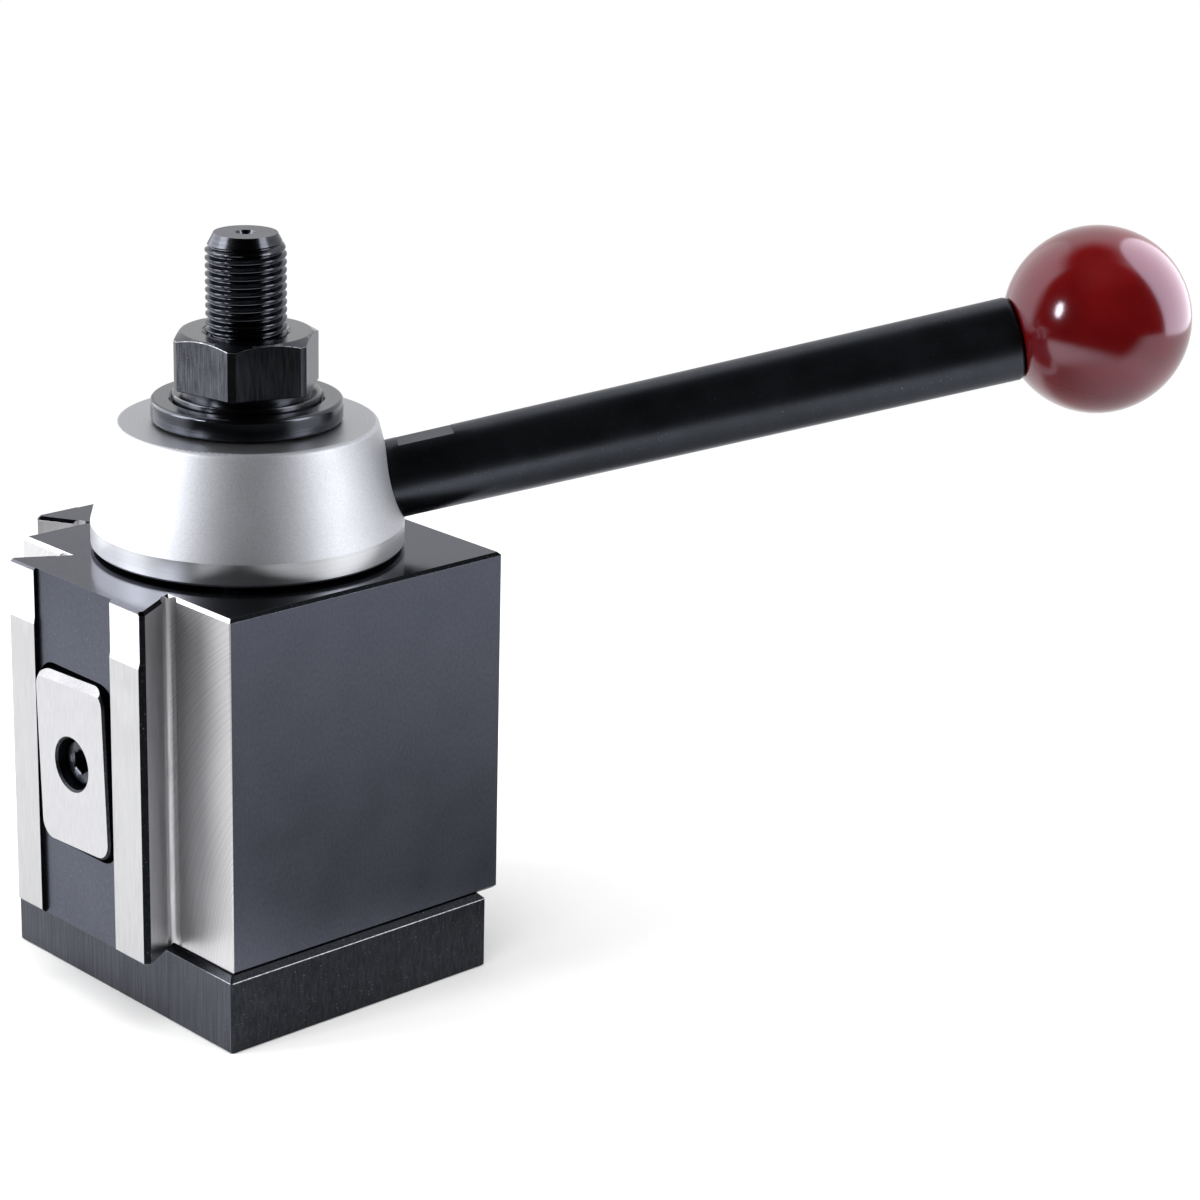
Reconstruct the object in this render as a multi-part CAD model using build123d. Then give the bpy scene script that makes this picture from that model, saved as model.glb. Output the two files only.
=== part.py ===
from build123d import *
import os
from math import cos, radians, sin, tan

os.makedirs("parts", exist_ok=True)

# Lathe tool post with a cam and two pistons. Millimetres, +Z up.
# The stud stands on the Z axis and the underside of the T-nut lies at z = 0.
# The front dovetail faces -X, the side dovetail faces +Y.

# Fits, each one a gap on the radius or on one side
running_gap = 0.05
locating_gap = 0.03
clear_gap = 0.3

# Small breaks and run-outs shared by several pieces
pin_edge = 0.3
thread_edge = 0.5
screw_tip_edge = 0.4
tap_run_out = 0.8
pin_end_gap = 0.2

# T-nut, supplied as a plain block for the buyer to machine
t_nut_length_x = 58.2
t_nut_length_y = 64.5
t_nut_height = 14.3
t_nut_offset_x = -0.45
t_nut_offset_y = -0.55
t_nut_edge = 1.0
t_nut_foot_edge = 0.3

# Stud, nine sixteenths of an inch with 18 threads to the inch
stud_diameter = 14.25
stud_stand = 17.4
stud_foot_edge = 0.5
stud_lead_length = 2.85
stud_lead_diameter = 11.2
centre_hole_rim = 3.6
centre_hole_diameter = 2.1
centre_hole_depth = 5.0

# Body
shoulder_distance = 28.5
plain_distance = 32.0
body_height = 64.7
body_edge = 0.6
body_corner_edge = 0.2
main_bore_radius = 18.0
base_web = 8.0

# Dovetail, the same on both faces
dovetail_depth = 9.45
dovetail_half_width = 19.75
dovetail_tip_rise = 8.35
dovetail_tip_break = 0.7
flank_angle = 30.0
root_groove_radius = 1.4
root_groove_rise = 0.85
root_groove_inset = 3.7
channel_half_width = 11.25
channel_depth = 0.85
relief_height = 10.1
relief_depth = 0.22
relief_ramp = 1.2

# Sleeve that carries the load of the nut to the foot of the body
sleeve_stud_gap = 0.275
sleeve_wall = 4.1
sleeve_flange_gap = 0.8
sleeve_flange_height = 3.0
sleeve_foot_rise = 0.5
sleeve_head_rise = 0.3

# Cam and its bearings
thrust_thickness = 1.0
cam_neck_gap = 2.5
cam_peak_gap = 0.5
cam_relief = 0.6
cam_turn = 60.0
piston_travel = 1.2
cam_run_on = 4.5
cam_lobe_margin = 1.85
cam_neck_height = 2.8
spigot_step = 2.0
spigot_top_clear = 5.7
retaining_wire_drop = 5.2
retaining_wire_radius = 1.0
retaining_wire_arc = 325.0
retaining_groove_gap = 0.1
retaining_wire_lift = 0.1
seal_seat_depth = 1.5
seal_ledge = 2.7
seal_section_radius = 1.05
seal_side_gap = 0.05
stop_pin_wall = 1.2
stop_pin_radius = 1.5
stop_pin_heading = 225.0
stop_pin_depth = 6.0
stop_pin_rise = 2.4
stop_slot_depth = 3.3
dowel_radius = 1.5
dowel_length = 12.0
dowel_rise = 1.5

# Pistons and shoes. The bore and channel lie a little to one side of the dovetail's centre line
piston_offset = 0.5
piston_drop = 0.5
piston_bore_radius = 8.0
shank_radius = 5.0
piston_head_thickness = 3.0
piston_web = 3.7
cam_follow_gap = 0.06
shoe_proud = 0.57
shoe_thickness = 9.0
shoe_side_gap = 1.1
shoe_height = 31.6
shoe_corner = 3.5
shoe_edge = 0.4
shoe_lead_height = 1.5
shoe_lead_depth = 1.0
front_shoe_turn = 2.4
side_shoe_turn = 0.0
pocket_gap = 0.4
pocket_end_gap = 0.8
pocket_corner = 4.5
screw_sink = 1.9
screw_head_radius = 4.25
screw_head_height = 5.0
screw_head_edge = 0.5
screw_radius = 2.5
screw_length = 12.0
screw_socket = 4.0
screw_socket_depth = 2.5
counterbore_radius = 4.65
counterbore_break = 0.4
spring_wire_radius = 0.5
spring_turns = 3.25
spring_points_per_turn = 12
spring_spare = 0.2

# Hub and handle
hub_gap = 0.65
hub_height = 22.35
hub_band_wall = 2.6
hub_band_height = 4.2
hub_taper = 4.73
hub_top_edge = 1.0
hub_foot_edge = 0.5
hub_bore_gap = 0.4
handle_heading = -35.0
handle_rise = 12.3
handle_cross_rise = 6.0
rod_seat_wall = 1.54
rod_taper_start = 27.0
rod_end = 141.4
rod_hub_radius = 7.1
rod_end_radius = 7.6
rod_end_edge = 1.0
rod_thread_radius = 5.0
rod_stub_length = 13.0
wrench_flat_start = 28.5
wrench_flat_end = 38.6
wrench_flat_depth = 0.55
knob_radius = 17.0
knob_centre = 156.8
insert_radius = 7.0
insert_length = 15.5
insert_sink = 0.15
insert_floor = 1.5
knob_rod_gap = 0.1

# Washer and nut
washer_radius = 16.9
washer_thickness = 3.9
washer_edge = 0.6
washer_recess_depth = 1.0
washer_recess_break = 0.4
nut_turned_radius = 13.1
collar_height = 2.1
collar_edge = 0.4
cutter_groove_height = 1.0
cutter_groove_depth = 0.2
nut_across_flats = 23.4
nut_height = 9.8
nut_heading = 41.2
nut_top_radius = 11.4
nut_mouth_reach = 0.775
nut_mouth_depth = 0.7
nut_thread_gap = 0.1
skirt_stud_gap = 0.275
skirt_wall = 0.95
flare_reach = 0.95
flare_height = 0.65
flare_seat_depth = 1.3

# Radii that follow from the sizes above
stud_radius = stud_diameter / 2
sleeve_bore_radius = stud_radius + sleeve_stud_gap
sleeve_radius = sleeve_bore_radius + sleeve_wall
sleeve_flange_radius = main_bore_radius - sleeve_flange_gap
cam_neck_radius = main_bore_radius - cam_neck_gap
cam_rate = piston_travel / radians(cam_turn)
cam_peak_radius = main_bore_radius - cam_peak_gap
cam_low_radius = cam_peak_radius - cam_rate * radians(cam_turn + cam_run_on)
cam_relief_radius = cam_low_radius - cam_relief
cam_lobe_height = 2 * (piston_bore_radius + cam_lobe_margin)
spigot_radius = main_bore_radius - spigot_step
seal_seat_radius = main_bore_radius + seal_ledge
stop_pin_circle = seal_seat_radius + stop_pin_wall + stop_pin_radius
hub_band_radius = stop_pin_circle + stop_pin_radius + clear_gap + hub_band_wall
hub_top_radius = hub_band_radius - hub_taper
hub_bore_radius = sleeve_radius + hub_bore_gap
spring_mean_radius = (shank_radius + piston_bore_radius) / 2
shoe_width = 2 * (channel_half_width - shoe_side_gap)
pocket_height = shoe_height + 2 * pocket_end_gap
root_groove_offset = dovetail_half_width - root_groove_inset
washer_recess_radius = nut_turned_radius + clear_gap
nut_groove_radius = nut_across_flats / 2 - cutter_groove_depth
skirt_bore_radius = stud_radius + skirt_stud_gap
skirt_radius = skirt_bore_radius + skirt_wall
washer_bore_radius = skirt_radius + clear_gap
flare_radius = skirt_radius + flare_reach
flare_seat_radius = flare_radius + clear_gap
nut_mouth_radius = stud_radius + nut_mouth_reach

# Distances along the handle that follow from the sizes above
rod_rise_slope = radians(handle_rise)
rod_thread_start = (sleeve_radius + clear_gap + rod_thread_radius * sin(rod_rise_slope)) / cos(rod_rise_slope)
rod_seat = (spigot_radius + rod_seat_wall + rod_hub_radius * sin(rod_rise_slope)) / cos(rod_rise_slope)

# Heights and distances that follow from the sizes above
body_bottom = t_nut_height
body_top = body_bottom + body_height
piston_height = body_bottom + body_height / 2 - piston_drop
land_plane = shoulder_distance + dovetail_depth
channel_plane = land_plane - channel_depth
shoe_face = land_plane + shoe_proud
shoe_back = shoe_face - shoe_thickness
pocket_floor = shoe_back - pocket_gap
spring_seat = pocket_floor - piston_web
piston_face = cam_low_radius + cam_rate ** 2 / (2 * cam_low_radius) + cam_follow_gap
piston_head_back = piston_face + piston_head_thickness
spring_length = spring_seat - piston_head_back - piston_travel - spring_spare
flange_top = body_bottom + base_web + sleeve_flange_height
cam_bottom = flange_top + thrust_thickness
lobe_bottom = piston_height - cam_lobe_height / 2
lobe_top = piston_height + cam_lobe_height / 2
journal_bottom = lobe_top + cam_neck_height
wire_height = body_top - retaining_wire_drop
journal_top = wire_height - retaining_wire_radius - retaining_wire_lift
seal_seat = body_top - seal_seat_depth
hub_bottom = body_top + hub_gap
hub_top = hub_bottom + hub_height
spigot_top = hub_top - spigot_top_clear
handle_cross = body_top + handle_cross_rise
sleeve_top = hub_top + sleeve_head_rise
washer_top = sleeve_top + washer_thickness
collar_bottom = washer_top - washer_recess_depth
collar_top = collar_bottom + collar_height
hex_bottom = collar_top + cutter_groove_height
nut_top = hex_bottom + nut_height
stud_top = nut_top + stud_stand


def ring(outer_radius, inner_radius, bottom, top):
    """A plain turned ring on the stud axis."""
    height = top - bottom
    outside = Cylinder(outer_radius, height, align=(Align.CENTER, Align.CENTER, Align.MIN))
    inside = Cylinder(inner_radius, height, align=(Align.CENTER, Align.CENTER, Align.MIN))
    return Pos(0, 0, bottom) * (outside - inside)


def disc(radius, bottom, top):
    """A plain turned cylinder on the stud axis."""
    height = top - bottom
    return Pos(0, 0, bottom) * Cylinder(radius, height, align=(Align.CENTER, Align.CENTER, Align.MIN))


def turned(points):
    """A solid turned about the Z axis from points given as radius and height."""
    outline = Polyline([(radius, 0, height) for radius, height in points], close=True)
    return revolve(make_face(outline), Axis.Z)


def front_plane():
    """Plane on the front piston's axis: local Z points out of the front face, local Y up."""
    return Plane(origin=(0, piston_offset, piston_height), x_dir=(0, -1, 0), z_dir=(-1, 0, 0))


def on_front(shape):
    """Put a shape built along the piston's own axis on the front face."""
    return front_plane() * shape


def on_side(shape):
    """Put a shape built along the piston's own axis on the side face."""
    return Rot(0, 0, -90) * on_front(shape)


def handle_plane():
    """Plane whose Z axis runs along the handle, from the stud axis outward."""
    heading = radians(handle_heading)
    rise = radians(handle_rise)
    along = (cos(heading) * cos(rise), sin(heading) * cos(rise), sin(rise))
    across = (-sin(heading), cos(heading), 0)
    return Plane(origin=(0, 0, handle_cross), x_dir=across, z_dir=along)


def make_t_nut():
    """Rectangular block with broken edges and the threaded hole for the stud."""
    block = Box(t_nut_length_x, t_nut_length_y, t_nut_height, align=(Align.CENTER, Align.CENTER, Align.MIN))
    foot = block.faces().sort_by(Axis.Z)[0].edges()
    block = chamfer(block.edges() - foot, t_nut_edge)
    block = chamfer(block.faces().sort_by(Axis.Z)[0].edges(), t_nut_foot_edge)
    block = Pos(t_nut_offset_x, t_nut_offset_y, 0) * block
    return block - disc(stud_radius + running_gap, -1, t_nut_height + 1)


def make_stud():
    """Threaded stud with a tapered lead and a centre-drilled top."""
    radius = stud_radius
    lead = stud_lead_diameter / 2
    rim = centre_hole_rim / 2
    hole = centre_hole_diameter / 2
    outline = [
        (0, 0),
        (radius - stud_foot_edge, 0),
        (radius, stud_foot_edge),
        (radius, stud_top - stud_lead_length),
        (lead, stud_top),
        (rim, stud_top),
        (hole, stud_top - (rim - hole) / tan(radians(30))),
        (hole, stud_top - centre_hole_depth),
        (0, stud_top - centre_hole_depth - hole * tan(radians(31))),
    ]
    return turned(outline)


def dovetail_block():
    """The dovetail as a plain prism along the height, before its grooves and channel."""
    root = dovetail_half_width - dovetail_tip_rise * tan(radians(flank_angle))
    tip = shoulder_distance + dovetail_tip_rise
    land_edge = dovetail_half_width - dovetail_tip_break
    inside = shoulder_distance - 6
    half = [
        (root, inside),
        (root, shoulder_distance),
        (dovetail_half_width, tip),
        (land_edge, land_plane),
    ]
    outline = half + [(-across, out) for across, out in reversed(half)]
    section = make_face(Polyline([(-out, -across) for across, out in outline], close=True))
    return extrude(Pos(0, 0, body_bottom) * section, body_height)


def dovetail_cuts():
    """Everything cut into the front dovetail: root grooves, relieved lands, channel and pocket."""
    groove_depth = shoulder_distance + root_groove_rise
    grooves = Sketch()
    for sign in (-1, 1):
        grooves += Pos(-groove_depth, sign * root_groove_offset) * Circle(root_groove_radius)
    cuts = extrude(Pos(0, 0, body_bottom - 1) * grooves, body_height + 2)
    relief_start = body_top - relief_height
    relief_side = make_face(Polyline([
        (-land_plane - 1, 0, relief_start),
        (-land_plane, 0, relief_start),
        (-land_plane + relief_depth, 0, relief_start + relief_ramp),
        (-land_plane + relief_depth, 0, body_top + 1),
        (-land_plane - 1, 0, body_top + 1),
    ], close=True))
    cuts += extrude(relief_side, dovetail_half_width + 1, both=True)
    channel = Box(channel_depth + 2, 2 * channel_half_width, body_height + 2,
                  align=(Align.MAX, Align.CENTER, Align.MIN))
    cuts += Pos(-channel_plane, piston_offset, body_bottom - 1) * channel
    pocket = extrude(RectangleRounded(2 * channel_half_width, pocket_height, pocket_corner),
                     land_plane + 1 - pocket_floor)
    cuts += on_front(Pos(0, 0, pocket_floor) * pocket)
    return cuts


def piston_bore():
    """Bore for the piston's head, and the smaller hole through the web for its shank."""
    bore = Cylinder(piston_bore_radius, spring_seat, align=(Align.CENTER, Align.CENTER, Align.MIN))
    hole = Cylinder(shank_radius + running_gap, pocket_floor + 1,
                    align=(Align.CENTER, Align.CENTER, Align.MIN))
    return bore + hole


def make_body():
    """Square body with two dovetails, a stepped centre bore and two piston bores."""
    width = shoulder_distance + plain_distance
    middle = (plain_distance - shoulder_distance) / 2
    body = Box(width, width, body_height, align=(Align.CENTER, Align.CENTER, Align.MIN))
    body = Pos(middle, -middle, body_bottom) * body
    tail = dovetail_block()
    body = body + tail + Rot(0, 0, -90) * tail
    ends = body.faces().sort_by(Axis.Z)
    body = chamfer(ends[0].edges() + ends[-1].edges(), body_edge)
    corners = ShapeList()
    for edge in body.edges().filter_by(Axis.Z):
        spot = edge.center()
        on_plain_face = spot.X > plain_distance - 0.1 or spot.Y < -plain_distance + 0.1
        if on_plain_face:
            corners.append(edge)
    body = chamfer(corners, body_corner_edge)
    cuts = dovetail_cuts()
    body = body - cuts - Rot(0, 0, -90) * cuts
    floor = body_bottom + base_web
    body -= disc(sleeve_radius + locating_gap, body_bottom - 1, floor + 1)
    body -= disc(main_bore_radius, floor, body_top + 1)
    body -= disc(seal_seat_radius, seal_seat, body_top + 1)
    body -= Pos(0, 0, wire_height) * Torus(main_bore_radius, retaining_wire_radius + retaining_groove_gap)
    bore = piston_bore()
    body = body - on_front(bore) - on_side(bore)
    body -= stop_pin_shape(stop_pin_radius + locating_gap, body_top - stop_pin_depth, body_top + 1)
    return body


def stop_pin_shape(radius, bottom, top):
    """An upright cylinder at the place of the stop pin."""
    return Rot(0, 0, stop_pin_heading) * Pos(stop_pin_circle, 0, 0) * disc(radius, bottom, top)


def make_stop_pin():
    """Short pin in the body's top that ends the travel of the handle."""
    pin = stop_pin_shape(stop_pin_radius, body_top - stop_pin_depth + pin_end_gap, body_top + stop_pin_rise)
    return chamfer(pin.edges(), pin_edge)


def make_centre_sleeve():
    """Flanged sleeve round the stud. The nut presses on its top, so the hub stays free to turn."""
    foot = body_bottom + sleeve_foot_rise
    floor = body_bottom + base_web
    outline = [
        (sleeve_bore_radius, foot),
        (sleeve_radius, foot),
        (sleeve_radius, floor),
        (sleeve_flange_radius, floor),
        (sleeve_flange_radius, flange_top),
        (sleeve_radius, flange_top),
        (sleeve_radius, sleeve_top),
        (sleeve_bore_radius, sleeve_top),
    ]
    return turned(outline)


def cam_section():
    """Outline of the cam: two equal spiral lobes a quarter turn apart and a relieved back."""
    def lobe(low_angle):
        points = []
        steps = 10
        first = -cam_run_on
        last = cam_turn + cam_run_on
        for step in range(steps + 1):
            turn = first + (last - first) * step / steps
            radius = cam_low_radius + cam_rate * radians(turn)
            angle = radians(low_angle + turn)
            points.append((radius * cos(angle), radius * sin(angle)))
        return Spline(points)

    side_lobe = lobe(90)
    front_lobe = lobe(180)
    back_start = radians(180 + cam_turn + 30)
    back_middle = radians(360)
    back_end = radians(360 + 80)
    relief = [(cam_relief_radius * cos(angle), cam_relief_radius * sin(angle))
              for angle in (back_start, back_middle, back_end)]
    outline = [
        side_lobe,
        Line(side_lobe @ 1, front_lobe @ 0),
        front_lobe,
        Line(front_lobe @ 1, relief[0]),
        ThreePointArc(*relief),
        Line(relief[2], side_lobe @ 0),
    ]
    return make_face(Curve() + outline)


def make_cam():
    """Cam on the sleeve: plain foot, lobed belt, bearing journal and the spigot that takes the hub."""
    cam = disc(cam_neck_radius, cam_bottom, journal_bottom)
    cam += extrude(Pos(0, 0, lobe_bottom) * cam_section(), cam_lobe_height)
    cam += disc(main_bore_radius - running_gap, journal_bottom, journal_top)
    cam += disc(spigot_radius, journal_top, spigot_top)
    cam -= disc(sleeve_radius + running_gap, cam_bottom - 1, spigot_top + 1)
    for shape in dowel_shapes(dowel_radius + locating_gap, 0):
        cam -= shape
    cam -= handle_plane() * Pos(0, 0, rod_thread_start - 2) * Cylinder(
        rod_thread_radius + locating_gap, 12, align=(Align.CENTER, Align.CENTER, Align.MIN))
    return cam


def dowel_shapes(radius, short):
    """Two upright dowels on the joint between hub and spigot, square to the handle."""
    bottom = hub_bottom + dowel_rise + short
    shapes = []
    for turn in (90, 270):
        place = Rot(0, 0, handle_heading + turn) * Pos(spigot_radius, 0, 0)
        shapes.append(place * disc(radius, bottom, bottom + dowel_length - 2 * short))
    return shapes


def make_dowels():
    """The two dowels that lock the hub to the cam."""
    return Compound(children=[shape.solid() for shape in dowel_shapes(dowel_radius, pin_end_gap)])


def make_thrust_washer():
    """Bearing washer under the cam."""
    return ring(main_bore_radius - clear_gap, sleeve_radius + clear_gap, flange_top, cam_bottom)


def make_retaining_wire():
    """Open ring of round wire sprung into the bore above the cam's journal."""
    profile = Pos(main_bore_radius, 0, 0) * Rot(90, 0, 0) * Circle(retaining_wire_radius)
    wire = revolve(profile, Axis.Z, retaining_wire_arc)
    return Pos(0, 0, wire_height) * wire


def make_dust_seal():
    """Rubber ring between the body and the hub."""
    circle = seal_seat_radius - seal_section_radius - seal_side_gap
    return Pos(0, 0, seal_seat + seal_section_radius) * Torus(circle, seal_section_radius)


def make_hub():
    """Conical hub with the handle's seat, the socket for the cam and the slot for the stop pin."""
    cone_start = hub_bottom + hub_band_height
    outline = [
        (hub_bore_radius, hub_bottom),
        (hub_band_radius - hub_foot_edge, hub_bottom),
        (hub_band_radius, hub_bottom + hub_foot_edge),
        (hub_band_radius, cone_start),
        (hub_top_radius, hub_top),
        (hub_bore_radius, hub_top),
    ]
    hub = turned(outline)
    rim = hub.edges().filter_by(GeomType.CIRCLE).group_by(Axis.Z)[-1].sort_by(SortBy.RADIUS)[-1]
    hub = fillet(rim, hub_top_edge)
    hub -= disc(spigot_radius + locating_gap, hub_bottom - 1, spigot_top + clear_gap)
    hub -= handle_plane() * Pos(0, 0, rod_seat) * Cylinder(
        rod_hub_radius + running_gap, 30, align=(Align.CENTER, Align.CENTER, Align.MIN))
    hub -= handle_plane() * Pos(0, 0, rod_thread_start) * Cylinder(
        rod_thread_radius + locating_gap, 10, align=(Align.CENTER, Align.CENTER, Align.MIN))
    for shape in dowel_shapes(dowel_radius + locating_gap, 0):
        hub -= shape
    hub -= stop_slot()
    return hub


def stop_slot():
    """Arc slot in the hub's underside, one handle turn long between its ends."""
    half_width = stop_pin_radius + clear_gap
    bottom = hub_bottom - 1
    height = stop_slot_depth - hub_gap + 1
    profile = Pos(stop_pin_circle, 0, bottom + height / 2) * Rot(90, 0, 0) * Rectangle(2 * half_width, height)
    slot = Rot(0, 0, stop_pin_heading) * revolve(profile, Axis.Z, cam_turn)
    for turn in (0, cam_turn):
        end = Rot(0, 0, stop_pin_heading + turn) * Pos(stop_pin_circle, 0, 0) * disc(
            half_width, bottom, bottom + height)
        slot += end
    return slot


def make_handle_rod():
    """Handle: threaded end in the hub, slow taper, two wrench flats, threaded end in the knob."""
    outline = [
        (0, rod_thread_start),
        (rod_thread_radius - thread_edge, rod_thread_start),
        (rod_thread_radius, rod_thread_start + thread_edge),
        (rod_thread_radius, rod_seat),
        (rod_hub_radius, rod_seat),
        (rod_hub_radius, rod_taper_start),
        (rod_end_radius, rod_end),
        (rod_thread_radius, rod_end),
        (rod_thread_radius, rod_end + rod_stub_length - thread_edge),
        (rod_thread_radius - thread_edge, rod_end + rod_stub_length),
        (0, rod_end + rod_stub_length),
    ]
    rod = turned(outline)
    end_rings = rod.edges().filter_by(GeomType.CIRCLE).filter_by(
        lambda edge: edge.radius > rod_end_radius - 0.01)
    rod = fillet(end_rings, rod_end_edge)
    length = wrench_flat_end - wrench_flat_start
    flat_distance = rod_hub_radius - wrench_flat_depth
    for sign in (-1, 1):
        cut = Box(4 * rod_hub_radius, rod_hub_radius, length, align=(Align.CENTER, Align.MIN, Align.MIN))
        rod -= Rot(0, 0, 90 - 90 * sign) * Pos(0, flat_distance, wrench_flat_start) * cut
    return handle_plane() * rod


def make_knob():
    """Ball knob with a small flat where it meets the rod, moulded round its insert."""
    ball = Pos(0, 0, knob_centre) * Sphere(knob_radius)
    near = rod_end + knob_rod_gap
    ball -= Pos(0, 0, near) * Cylinder(knob_radius, 30, align=(Align.CENTER, Align.CENTER, Align.MAX))
    ball -= Pos(0, 0, near - 1) * Cylinder(
        insert_radius + locating_gap, insert_length + 1 + clear_gap,
        align=(Align.CENTER, Align.CENTER, Align.MIN))
    return handle_plane() * ball


def make_knob_insert():
    """Threaded insert of the knob."""
    start = rod_end + insert_sink
    body = Cylinder(insert_radius, insert_length, align=(Align.CENTER, Align.CENTER, Align.MIN))
    hole = Cylinder(rod_thread_radius + locating_gap, insert_length - insert_floor,
                    align=(Align.CENTER, Align.CENTER, Align.MIN))
    return handle_plane() * Pos(0, 0, start) * (body - hole)


def make_piston():
    """Round piston: a head that follows the cam and a shank with a tapped hole for the shoe's screw."""
    reach = shoe_back - piston_face
    piston = Cylinder(piston_bore_radius - running_gap, piston_head_thickness,
                      align=(Align.CENTER, Align.CENTER, Align.MIN))
    piston = chamfer(piston.edges(), pin_edge)
    piston += Cylinder(shank_radius, reach, align=(Align.CENTER, Align.CENTER, Align.MIN))
    tap_depth = screw_tip_depth() + tap_run_out
    piston -= Pos(0, 0, reach) * Cylinder(screw_radius + locating_gap, tap_depth,
                                          align=(Align.CENTER, Align.CENTER, Align.MAX))
    return Pos(0, 0, piston_face) * piston


def screw_tip_depth():
    """How far the screw's end lies behind the back of the shoe."""
    under_head = shoe_face - screw_sink - screw_head_height
    return shoe_back - (under_head - screw_length)


def make_shoe(turn):
    """Plate with round corners, a lead-in bevel along its top and a counterbored screw hole."""
    plate = extrude(RectangleRounded(shoe_width, shoe_height, shoe_corner), shoe_thickness)
    plate = chamfer(plate.faces().sort_by(Axis.Z)[-1].edges(), shoe_edge)
    top = shoe_height / 2
    wedge = make_face(Polyline([
        (0, top - shoe_lead_height, shoe_thickness),
        (0, top + 0.1, shoe_thickness - shoe_lead_depth * (1 + 0.1 / shoe_lead_height)),
        (0, top + 0.1, shoe_thickness + 1),
        (0, top - shoe_lead_height, shoe_thickness + 1),
    ], close=True))
    plate -= extrude(wedge, shoe_width, both=True)
    under_head = shoe_thickness - screw_sink - screw_head_height
    plate -= Pos(0, 0, under_head) * Cylinder(counterbore_radius, shoe_thickness,
                                              align=(Align.CENTER, Align.CENTER, Align.MIN))
    plate -= Cylinder(screw_radius + clear_gap, 2 * shoe_thickness)
    mouth = plate.edges().filter_by(GeomType.CIRCLE).filter_by(
        lambda edge: abs(edge.radius - counterbore_radius) < 0.01 and edge.center().Z > under_head + 0.5)
    plate = chamfer(mouth, counterbore_break)
    return Pos(0, 0, shoe_back) * Rot(0, 0, turn) * plate


def make_shoe_screw(turn):
    """Socket head cap screw that holds the shoe on its piston."""
    under_head = shoe_face - screw_sink - screw_head_height
    head = Cylinder(screw_head_radius, screw_head_height, align=(Align.CENTER, Align.CENTER, Align.MIN))
    head = fillet(head.edges().sort_by(Axis.Z)[-1], screw_head_edge)
    hexagon = RegularPolygon(screw_socket / 2, 6, major_radius=False)
    socket = extrude(Rot(0, 0, 30) * hexagon, screw_socket_depth)
    head -= Pos(0, 0, screw_head_height - screw_socket_depth) * socket
    shank = Cylinder(screw_radius, screw_length, align=(Align.CENTER, Align.CENTER, Align.MAX))
    shank = chamfer(shank.edges().sort_by(Axis.Z)[0], screw_tip_edge)
    return Pos(0, 0, under_head) * Rot(0, 0, turn) * (head + shank)


def make_spring():
    """Return spring round the piston's shank, seated on the web and drawn at its shortest length."""
    rise = spring_length - 2 * spring_wire_radius
    steps = round(spring_turns * spring_points_per_turn)
    points = []
    for step in range(steps + 1):
        share = step / steps
        turn = radians(360 * spring_turns * share)
        points.append((spring_mean_radius * cos(turn), spring_mean_radius * sin(turn), rise * share))
    path = Spline(points)
    section = Plane(origin=path @ 0, z_dir=path % 0) * Circle(spring_wire_radius)
    coil = sweep(section, path=path, is_frenet=True)
    return Pos(0, 0, spring_seat - spring_length + spring_wire_radius) * coil


def make_washer():
    """Thick washer under the nut, with a turned recess for the nut's collar and a seat for its flare."""
    recess_floor = washer_top - washer_recess_depth
    flare_ceiling = sleeve_top + flare_seat_depth
    outline = [
        (washer_bore_radius, flare_ceiling),
        (flare_seat_radius, flare_ceiling),
        (flare_seat_radius, sleeve_top),
        (washer_radius, sleeve_top),
        (washer_radius, washer_top),
        (washer_recess_radius + washer_recess_break, washer_top),
        (washer_recess_radius, washer_top - washer_recess_break),
        (washer_recess_radius, recess_floor),
        (washer_bore_radius, recess_floor),
    ]
    washer = turned(outline)
    rims = washer.edges().filter_by(GeomType.CIRCLE).filter_by(
        lambda edge: edge.radius > washer_radius - 0.01)
    return fillet(rims, washer_edge)


def make_nut():
    """Hexagon nut milled from a turned blank: a groove for the cutter to run out in, a round collar
    below it, and a flared skirt that keeps the washer on."""
    drop = (nut_turned_radius - nut_top_radius) * tan(radians(30))
    hexagon = RegularPolygon(nut_across_flats / 2, 6, major_radius=False, rotation=nut_heading)
    hexagon = Pos(0, 0, hex_bottom) * extrude(hexagon, nut_height)
    envelope = turned([
        (0, hex_bottom),
        (nut_turned_radius, hex_bottom),
        (nut_turned_radius, nut_top - drop),
        (nut_top_radius, nut_top),
        (0, nut_top),
    ])
    nut = hexagon & envelope
    nut += disc(nut_groove_radius, collar_top, hex_bottom)
    collar = disc(nut_turned_radius, collar_bottom, collar_top)
    nut += fillet(collar.edges().sort_by(Axis.Z)[-1], collar_edge)
    flare_top = sleeve_top + flare_seat_depth - clear_gap
    nut += disc(skirt_radius, flare_top - flare_height, collar_bottom)
    nut += disc(flare_radius, flare_top - flare_height, flare_top)
    nut -= disc(stud_radius + nut_thread_gap, sleeve_top - 1, nut_top + 1)
    nut -= disc(skirt_bore_radius, sleeve_top - 1, collar_bottom)
    nut -= turned([
        (0, nut_top - nut_mouth_depth * nut_mouth_radius / nut_mouth_reach),
        (nut_mouth_radius, nut_top),
        (nut_mouth_radius, nut_top + 1),
        (0, nut_top + 1),
    ])
    return nut


front_piston = make_piston()
spring = make_spring()

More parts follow.
